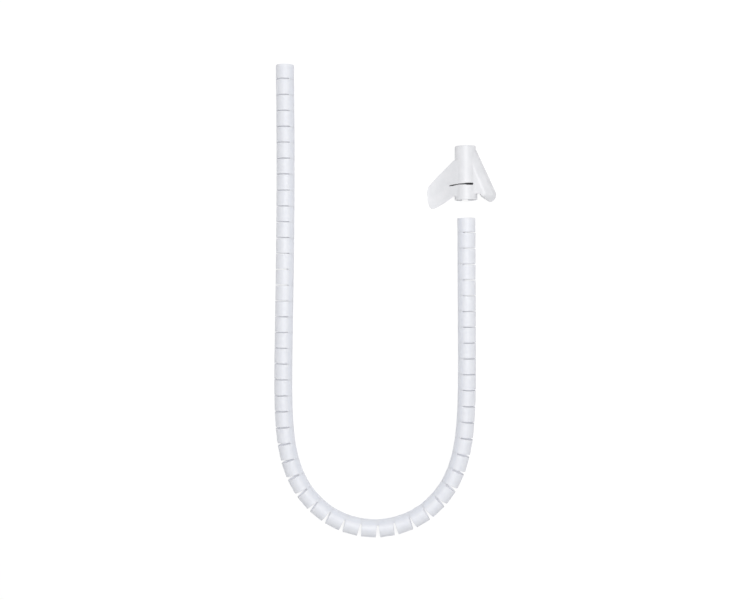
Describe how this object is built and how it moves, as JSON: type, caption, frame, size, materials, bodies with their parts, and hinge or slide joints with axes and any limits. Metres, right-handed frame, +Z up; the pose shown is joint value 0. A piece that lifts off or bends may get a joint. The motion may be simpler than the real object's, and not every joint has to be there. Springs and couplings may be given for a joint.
{
  "type": "cable tidy tube",
  "caption": "Slotted, lengthwise-split plastic cable tidy tube laid in a U, with rings hinged along one spine, and a winged loading tool that slides over its end.",
  "frame": {"origin": "bottom centre of the whole object's box, on the table that it lies on", "axes": "+Z up; +Y from the bow towards the tube's free ends; +X from the long leg to the short leg"},
  "size_m": [0.2612, 0.5546, 0.0238],
  "materials": {
    "tube_plastic": "satin",
    "tool_plastic": "semi-gloss moulded"
  },
  "bodies": {
    "ring_01": {"ring_01": "tube_plastic"},
    "ring_02": {"ring_02": "tube_plastic"},
    "ring_03": {"ring_03": "tube_plastic"},
    "ring_04": {"ring_04": "tube_plastic"},
    "ring_05": {"ring_05": "tube_plastic"},
    "ring_06": {"ring_06": "tube_plastic"},
    "ring_07": {"ring_07": "tube_plastic"},
    "ring_08": {"ring_08": "tube_plastic"},
    "ring_09": {"ring_09": "tube_plastic"},
    "ring_10": {"ring_10": "tube_plastic"},
    "ring_11": {"ring_11": "tube_plastic"},
    "ring_12": {"ring_12": "tube_plastic"},
    "ring_13": {"ring_13": "tube_plastic"},
    "ring_14": {"ring_14": "tube_plastic"},
    "ring_15": {"ring_15": "tube_plastic"},
    "ring_16": {"ring_16": "tube_plastic"},
    "ring_17": {"ring_17": "tube_plastic"},
    "ring_18": {"ring_18": "tube_plastic"},
    "ring_19": {"ring_19": "tube_plastic"},
    "ring_20": {"ring_20": "tube_plastic"},
    "ring_21": {"ring_21": "tube_plastic"},
    "ring_22": {"ring_22": "tube_plastic"},
    "ring_23": {"ring_23": "tube_plastic"},
    "ring_24": {"ring_24": "tube_plastic"},
    "ring_25": {"ring_25": "tube_plastic"},
    "ring_26": {"ring_26": "tube_plastic"},
    "ring_27": {"ring_27": "tube_plastic"},
    "ring_28": {"ring_28": "tube_plastic"},
    "ring_29": {"ring_29": "tube_plastic"},
    "ring_30": {"ring_30": "tube_plastic"},
    "ring_31": {"ring_31": "tube_plastic"},
    "ring_32": {"ring_32": "tube_plastic"},
    "ring_33": {"ring_33": "tube_plastic"},
    "ring_34": {"ring_34": "tube_plastic"},
    "ring_35": {"ring_35": "tube_plastic"},
    "ring_36": {"ring_36": "tube_plastic"},
    "ring_37": {"ring_37": "tube_plastic"},
    "ring_38": {"ring_38": "tube_plastic"},
    "ring_39": {"ring_39": "tube_plastic"},
    "ring_40": {"ring_40": "tube_plastic"},
    "ring_41": {"ring_41": "tube_plastic"},
    "ring_42": {"ring_42": "tube_plastic"},
    "ring_43": {"ring_43": "tube_plastic"},
    "ring_44": {"ring_44": "tube_plastic"},
    "ring_45": {"ring_45": "tube_plastic"},
    "ring_46": {"ring_46": "tube_plastic"},
    "ring_47": {"ring_47": "tube_plastic"},
    "ring_48": {"ring_48": "tube_plastic"},
    "ring_49": {"ring_49": "tube_plastic"},
    "ring_50": {"ring_50": "tube_plastic"},
    "ring_51": {"ring_51": "tube_plastic"},
    "ring_52": {"ring_52": "tube_plastic"},
    "ring_53": {"ring_53": "tube_plastic"},
    "ring_54": {"ring_54": "tube_plastic"},
    "loading_tool": {"loading_tool": "tool_plastic"}
  },
  "joints": [
    {"name": "loading_tool_slide", "type": "slide", "parent": "ring_54", "child": "loading_tool", "axis": [0.0166, -0.9999, 0], "range_m": [0, 0.035]},
    {"name": "spine_hinge_01", "type": "hinge", "parent": "ring_02", "child": "ring_01", "pos_m": [-0.10694, 0.26038, 0.0105], "axis": [0, 0, 1], "range_deg": [-6.81, 2.19], "stiffness_Nm_per_rad": 1},
    {"name": "spine_hinge_02", "type": "hinge", "parent": "ring_03", "child": "ring_02", "pos_m": [-0.10672, 0.24193, 0.0105], "axis": [0, 0, 1], "range_deg": [-7.85, 1.16], "stiffness_Nm_per_rad": 1},
    {"name": "spine_hinge_03", "type": "hinge", "parent": "ring_04", "child": "ring_03", "pos_m": [-0.10661, 0.22348, 0.0105], "axis": [0, 0, 1], "range_deg": [-7.49, 1.52], "stiffness_Nm_per_rad": 1},
    {"name": "spine_hinge_04", "type": "hinge", "parent": "ring_05", "child": "ring_04", "pos_m": [-0.10649, 0.20503, 0.0105], "axis": [0, 0, 1], "range_deg": [-7.68, 1.32], "stiffness_Nm_per_rad": 1},
    {"name": "spine_hinge_05", "type": "hinge", "parent": "ring_06", "child": "ring_05", "pos_m": [-0.10643, 0.18658, 0.0105], "axis": [0, 0, 1], "range_deg": [-7.75, 1.25], "stiffness_Nm_per_rad": 1},
    {"name": "spine_hinge_06", "type": "hinge", "parent": "ring_07", "child": "ring_06", "pos_m": [-0.10645, 0.16813, 0.0105], "axis": [0, 0, 1], "range_deg": [-7.45, 1.56], "stiffness_Nm_per_rad": 1},
    {"name": "spine_hinge_07", "type": "hinge", "parent": "ring_08", "child": "ring_07", "pos_m": [-0.10646, 0.14968, 0.0105], "axis": [0, 0, 1], "range_deg": [-7.82, 1.19], "stiffness_Nm_per_rad": 1},
    {"name": "spine_hinge_08", "type": "hinge", "parent": "ring_09", "child": "ring_08", "pos_m": [-0.10656, 0.13123, 0.0105], "axis": [0, 0, 1], "range_deg": [-7.57, 1.44], "stiffness_Nm_per_rad": 1},
    {"name": "spine_hinge_09", "type": "hinge", "parent": "ring_10", "child": "ring_09", "pos_m": [-0.10669, 0.11278, 0.0105], "axis": [0, 0, 1], "range_deg": [-7.56, 1.45], "stiffness_Nm_per_rad": 1},
    {"name": "spine_hinge_10", "type": "hinge", "parent": "ring_11", "child": "ring_10", "pos_m": [-0.10683, 0.09433, 0.0105], "axis": [0, 0, 1], "range_deg": [-7.82, 1.2], "stiffness_Nm_per_rad": 1},
    {"name": "spine_hinge_11", "type": "hinge", "parent": "ring_12", "child": "ring_11", "pos_m": [-0.10707, 0.07588, 0.0105], "axis": [0, 0, 1], "range_deg": [-7.44, 1.58], "stiffness_Nm_per_rad": 1},
    {"name": "spine_hinge_12", "type": "hinge", "parent": "ring_13", "child": "ring_12", "pos_m": [-0.10728, 0.05743, 0.0105], "axis": [0, 0, 1], "range_deg": [-7.73, 1.29], "stiffness_Nm_per_rad": 1},
    {"name": "spine_hinge_13", "type": "hinge", "parent": "ring_14", "child": "ring_13", "pos_m": [-0.10756, 0.03898, 0.0105], "axis": [0, 0, 1], "range_deg": [-7.66, 1.37], "stiffness_Nm_per_rad": 1},
    {"name": "spine_hinge_14", "type": "hinge", "parent": "ring_15", "child": "ring_14", "pos_m": [-0.10788, 0.02054, 0.0105], "axis": [0, 0, 1], "range_deg": [-7.44, 1.6], "stiffness_Nm_per_rad": 1},
    {"name": "spine_hinge_15", "type": "hinge", "parent": "ring_16", "child": "ring_15", "pos_m": [-0.10817, 0.00209, 0.0105], "axis": [0, 0, 1], "range_deg": [-7.8, 1.26], "stiffness_Nm_per_rad": 1},
    {"name": "spine_hinge_16", "type": "hinge", "parent": "ring_17", "child": "ring_16", "pos_m": [-0.10854, -0.01636, 0.0105], "axis": [0, 0, 1], "range_deg": [-7.44, 1.64], "stiffness_Nm_per_rad": 1},
    {"name": "spine_hinge_17", "type": "hinge", "parent": "ring_18", "child": "ring_17", "pos_m": [-0.10887, -0.03481, 0.0105], "axis": [0, 0, 1], "range_deg": [-7.54, 1.58], "stiffness_Nm_per_rad": 1},
    {"name": "spine_hinge_18", "type": "hinge", "parent": "ring_19", "child": "ring_18", "pos_m": [-0.10917, -0.05325, 0.0105], "axis": [0, 0, 1], "range_deg": [-7.65, 1.52], "stiffness_Nm_per_rad": 1},
    {"name": "spine_hinge_19", "type": "hinge", "parent": "ring_20", "child": "ring_19", "pos_m": [-0.10946, -0.0717, 0.0105], "axis": [0, 0, 1], "range_deg": [-7.2, 2.06], "stiffness_Nm_per_rad": 1},
    {"name": "spine_hinge_20", "type": "hinge", "parent": "ring_21", "child": "ring_20", "pos_m": [-0.10957, -0.09015, 0.0105], "axis": [0, 0, 1], "range_deg": [-7.47, 1.94], "stiffness_Nm_per_rad": 1},
    {"name": "spine_hinge_21", "type": "hinge", "parent": "ring_22", "child": "ring_21", "pos_m": [-0.10955, -0.1086, 0.0105], "axis": [0, 0, 1], "range_deg": [-7.05, 2.61], "stiffness_Nm_per_rad": 1},
    {"name": "spine_hinge_22", "type": "hinge", "parent": "ring_23", "child": "ring_22", "pos_m": [-0.10916, -0.12705, 0.0105], "axis": [0, 0, 1], "range_deg": [-6.57, 3.52], "stiffness_Nm_per_rad": 1},
    {"name": "spine_hinge_23", "type": "hinge", "parent": "ring_24", "child": "ring_23", "pos_m": [-0.10812, -0.14547, 0.0105], "axis": [0, 0, 1], "range_deg": [-6.47, 4.32], "stiffness_Nm_per_rad": 1},
    {"name": "spine_hinge_24", "type": "hinge", "parent": "ring_25", "child": "ring_24", "pos_m": [-0.10618, -0.16381, 0.0105], "axis": [0, 0, 1], "range_deg": [-4.92, 6.92], "stiffness_Nm_per_rad": 1},
    {"name": "spine_hinge_25", "type": "hinge", "parent": "ring_26", "child": "ring_25", "pos_m": [-0.10252, -0.1819, 0.0105], "axis": [0, 0, 1], "range_deg": [-4.36, 8.77], "stiffness_Nm_per_rad": 1},
    {"name": "spine_hinge_26", "type": "hinge", "parent": "ring_27", "child": "ring_26", "pos_m": [-0.09659, -0.19937, 0.0105], "axis": [0, 0, 1], "range_deg": [-3.47, 10.84], "stiffness_Nm_per_rad": 1},
    {"name": "spine_hinge_27", "type": "hinge", "parent": "ring_28", "child": "ring_27", "pos_m": [-0.08791, -0.21565, 0.0105], "axis": [0, 0, 1], "range_deg": [-2.01, 13.05], "stiffness_Nm_per_rad": 1},
    {"name": "spine_hinge_28", "type": "hinge", "parent": "ring_29", "child": "ring_28", "pos_m": [-0.07615, -0.22986, 0.0105], "axis": [0, 0, 1], "range_deg": [-2.96, 12.42], "stiffness_Nm_per_rad": 1},
    {"name": "spine_hinge_29", "type": "hinge", "parent": "ring_30", "child": "ring_29", "pos_m": [-0.0619, -0.24159, 0.0105], "axis": [0, 0, 1], "range_deg": [-1.93, 13.55], "stiffness_Nm_per_rad": 1},
    {"name": "spine_hinge_30", "type": "hinge", "parent": "ring_31", "child": "ring_30", "pos_m": [-0.04553, -0.25008, 0.0105], "axis": [0, 0, 1], "range_deg": [-2.06, 13.44], "stiffness_Nm_per_rad": 1},
    {"name": "spine_hinge_31", "type": "hinge", "parent": "ring_32", "child": "ring_31", "pos_m": [-0.02774, -0.255, 0.0105], "axis": [0, 0, 1], "range_deg": [-2.8, 12.7], "stiffness_Nm_per_rad": 1},
    {"name": "spine_hinge_32", "type": "hinge", "parent": "ring_32", "child": "ring_33", "pos_m": [-0.00935, -0.25638, 0.0105], "axis": [0, 0, 1], "range_deg": [-13.94, 1.56], "stiffness_Nm_per_rad": 1},
    {"name": "spine_hinge_33", "type": "hinge", "parent": "ring_33", "child": "ring_34", "pos_m": [0.00892, -0.25376, 0.0105], "axis": [0, 0, 1], "range_deg": [-12.86, 2.64], "stiffness_Nm_per_rad": 1},
    {"name": "spine_hinge_34", "type": "hinge", "parent": "ring_34", "child": "ring_35", "pos_m": [0.02631, -0.24759, 0.0105], "axis": [0, 0, 1], "range_deg": [-13.21, 2.29], "stiffness_Nm_per_rad": 1},
    {"name": "spine_hinge_35", "type": "hinge", "parent": "ring_35", "child": "ring_36", "pos_m": [0.04208, -0.23802, 0.0105], "axis": [0, 0, 1], "range_deg": [-13.69, 1.77], "stiffness_Nm_per_rad": 1},
    {"name": "spine_hinge_36", "type": "hinge", "parent": "ring_36", "child": "ring_37", "pos_m": [0.05548, -0.22534, 0.0105], "axis": [0, 0, 1], "range_deg": [-12.23, 3.06], "stiffness_Nm_per_rad": 1},
    {"name": "spine_hinge_37", "type": "hinge", "parent": "ring_37", "child": "ring_38", "pos_m": [0.06628, -0.21038, 0.0105], "axis": [0, 0, 1], "range_deg": [-12.48, 2.33], "stiffness_Nm_per_rad": 1},
    {"name": "spine_hinge_38", "type": "hinge", "parent": "ring_38", "child": "ring_39", "pos_m": [0.07404, -0.19364, 0.0105], "axis": [0, 0, 1], "range_deg": [-10.25, 3.62], "stiffness_Nm_per_rad": 1},
    {"name": "spine_hinge_39", "type": "hinge", "parent": "ring_39", "child": "ring_40", "pos_m": [0.07916, -0.17592, 0.0105], "axis": [0, 0, 1], "range_deg": [-7.69, 4.91], "stiffness_Nm_per_rad": 1},
    {"name": "spine_hinge_40", "type": "hinge", "parent": "ring_40", "child": "ring_41", "pos_m": [0.08234, -0.15774, 0.0105], "axis": [0, 0, 1], "range_deg": [-6.1, 5.28], "stiffness_Nm_per_rad": 1},
    {"name": "spine_hinge_41", "type": "hinge", "parent": "ring_41", "child": "ring_42", "pos_m": [0.08405, -0.13937, 0.0105], "axis": [0, 0, 1], "range_deg": [-3.81, 6.66], "stiffness_Nm_per_rad": 1},
    {"name": "spine_hinge_42", "type": "hinge", "parent": "ring_42", "child": "ring_43", "pos_m": [0.08501, -0.12095, 0.0105], "axis": [0, 0, 1], "range_deg": [-3.08, 6.81], "stiffness_Nm_per_rad": 1},
    {"name": "spine_hinge_43", "type": "hinge", "parent": "ring_43", "child": "ring_44", "pos_m": [0.08547, -0.1025, 0.0105], "axis": [0, 0, 1], "range_deg": [-2.49, 7.06], "stiffness_Nm_per_rad": 1},
    {"name": "spine_hinge_44", "type": "hinge", "parent": "ring_44", "child": "ring_45", "pos_m": [0.08561, -0.08405, 0.0105], "axis": [0, 0, 1], "range_deg": [-1.79, 7.55], "stiffness_Nm_per_rad": 1},
    {"name": "spine_hinge_45", "type": "hinge", "parent": "ring_45", "child": "ring_46", "pos_m": [0.08566, -0.0656, 0.0105], "axis": [0, 0, 1], "range_deg": [-1.98, 7.24], "stiffness_Nm_per_rad": 1},
    {"name": "spine_hinge_46", "type": "hinge", "parent": "ring_46", "child": "ring_47", "pos_m": [0.08555, -0.04715, 0.0105], "axis": [0, 0, 1], "range_deg": [-1.55, 7.59], "stiffness_Nm_per_rad": 1},
    {"name": "spine_hinge_47", "type": "hinge", "parent": "ring_47", "child": "ring_48", "pos_m": [0.08542, -0.0287, 0.0105], "axis": [0, 0, 1], "range_deg": [-1.5, 7.6], "stiffness_Nm_per_rad": 1},
    {"name": "spine_hinge_48", "type": "hinge", "parent": "ring_48", "child": "ring_49", "pos_m": [0.08529, -0.01025, 0.0105], "axis": [0, 0, 1], "range_deg": [-1.68, 7.38], "stiffness_Nm_per_rad": 1},
    {"name": "spine_hinge_49", "type": "hinge", "parent": "ring_49", "child": "ring_50", "pos_m": [0.08511, 0.00819, 0.0105], "axis": [0, 0, 1], "range_deg": [-1.27, 7.78], "stiffness_Nm_per_rad": 1},
    {"name": "spine_hinge_50", "type": "hinge", "parent": "ring_50", "child": "ring_51", "pos_m": [0.08499, 0.02664, 0.0105], "axis": [0, 0, 1], "range_deg": [-1.56, 7.47], "stiffness_Nm_per_rad": 1},
    {"name": "spine_hinge_51", "type": "hinge", "parent": "ring_51", "child": "ring_52", "pos_m": [0.08486, 0.04509, 0.0105], "axis": [0, 0, 1], "range_deg": [-1.46, 7.57], "stiffness_Nm_per_rad": 1},
    {"name": "spine_hinge_52", "type": "hinge", "parent": "ring_52", "child": "ring_53", "pos_m": [0.08474, 0.06354, 0.0105], "axis": [0, 0, 1], "range_deg": [-1.27, 7.75], "stiffness_Nm_per_rad": 1},
    {"name": "spine_hinge_53", "type": "hinge", "parent": "ring_53", "child": "ring_54", "pos_m": [0.0847, 0.08199, 0.0105], "axis": [0, 0, 1], "range_deg": [-2.31, 6.7], "stiffness_Nm_per_rad": 1}
  ]
}
